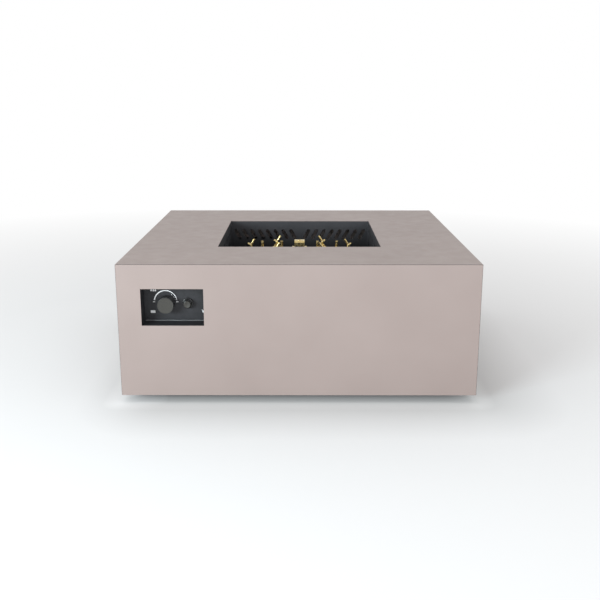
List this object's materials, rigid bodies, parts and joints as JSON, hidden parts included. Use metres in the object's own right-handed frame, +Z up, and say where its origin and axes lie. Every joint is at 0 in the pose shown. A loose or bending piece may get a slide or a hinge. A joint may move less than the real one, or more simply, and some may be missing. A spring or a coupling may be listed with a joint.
{
  "type": "gas fire pit table",
  "caption": "Square low gas fire pit with a slotted central fire pan, a brass jet burner and a recessed front control with a knob and an ignition button.",
  "frame": {"origin": "on the floor, under the centre of the square shell", "axes": "+X to the right seen from the front, +Y from the front to the back, +Z up; the control recess faces -Y"},
  "size_m": [1.067, 1.067, 0.427],
  "materials": {
    "powder_coat": "satin",
    "black_enamel": "matte",
    "frame_paint": "matte",
    "control_black": "satin",
    "knob_metal": "satin",
    "igniter_black": "gloss",
    "button_grey": "satin",
    "battery_sleeve": "satin",
    "foot_rubber": "matte",
    "lead_sleeve": "satin",
    "electrode_ceramic": "gloss",
    "valve_aluminium": "satin",
    "brass": "satin",
    "copper_tube": "satin",
    "zinc_steel": "satin"
  },
  "bodies": {
    "table": {"top_panel": "powder_coat", "front_panel": "powder_coat", "back_panel": "powder_coat", "left_panel": "powder_coat", "right_panel": "powder_coat", "access_jamb": "frame_paint", "access_magnets": "zinc_steel", "base_frame": "frame_paint", "top_frame": "frame_paint", "tray_rail_left": "frame_paint", "tray_rail_right": "frame_paint", "corner_posts": "frame_paint", "fire_tray": "black_enamel", "burner_hub": "brass", "hub_plug": "brass", "burner_riser": "brass", "riser_locknuts": "brass", "arm_nuts": "brass", "inner_arms": "brass", "cross_fittings": "brass", "outer_arms": "brass", "branch_pipes": "brass", "end_caps": "brass", "jet_heads": "brass", "long_nozzles": "brass", "short_nozzles": "brass", "upright_jets": "brass", "pilot_bracket": "zinc_steel", "spark_electrode": "electrode_ceramic", "thermocouple": "zinc_steel", "control_box": "control_black", "control_plate": "control_black", "plate_screws": "zinc_steel", "gas_valve": "valve_aluminium", "valve_nut": "zinc_steel", "knob_spring": "zinc_steel", "igniter_barrel": "igniter_black", "igniter_nut": "igniter_black", "igniter_spring": "zinc_steel", "igniter_battery": "battery_sleeve", "inlet_bracket": "zinc_steel", "gas_inlet": "brass", "inlet_line": "zinc_steel", "burner_line": "zinc_steel", "ignition_lead": "lead_sleeve", "thermocouple_lead": "copper_tube"},
    "push_collar": {"spindle_collar": "zinc_steel"},
    "knob": {"valve_spindle": "zinc_steel", "control_knob": "knob_metal"},
    "button": {"igniter_button": "button_grey"},
    "access_cover": {"access_panel": "powder_coat"},
    "foot_front_left": {"foot_pad_front_left": "foot_rubber", "foot_stud_front_left": "zinc_steel"},
    "foot_front_right": {"foot_pad_front_right": "foot_rubber", "foot_stud_front_right": "zinc_steel"},
    "foot_back_left": {"foot_pad_back_left": "foot_rubber", "foot_stud_back_left": "zinc_steel"},
    "foot_back_right": {"foot_pad_back_right": "foot_rubber", "foot_stud_back_right": "zinc_steel"}
  },
  "joints": [
    {"name": "knob_push", "type": "slide", "parent": "table", "child": "push_collar", "axis": [0, 1, 0], "range_m": [0, 0.004], "stiffness_N_per_m": 700, "springref_m": -0.006, "deforming": ["knob_spring"]},
    {"name": "knob_turn", "type": "hinge", "parent": "push_collar", "child": "knob", "pos_m": [-0.396, -0.4735, 0.2965], "axis": [0, -1, 0], "range_deg": [0, 180]},
    {"name": "button_push", "type": "slide", "parent": "table", "child": "button", "axis": [0, 1, 0], "range_m": [0, 0.004], "stiffness_N_per_m": 500, "springref_m": -0.004, "deforming": ["igniter_spring"]},
    {"name": "panel_pull", "type": "slide", "parent": "table", "child": "access_cover", "axis": [0, 1, 0], "range_m": [0, 0.06]},
    {"name": "level_front_left", "type": "slide", "parent": "table", "child": "foot_front_left", "axis": [0, 0, -1], "range_m": [0, 0.015]},
    {"name": "level_front_right", "type": "slide", "parent": "table", "child": "foot_front_right", "axis": [0, 0, -1], "range_m": [0, 0.015]},
    {"name": "level_back_left", "type": "slide", "parent": "table", "child": "foot_back_left", "axis": [0, 0, -1], "range_m": [0, 0.015]},
    {"name": "level_back_right", "type": "slide", "parent": "table", "child": "foot_back_right", "axis": [0, 0, -1], "range_m": [0, 0.015]}
  ]
}
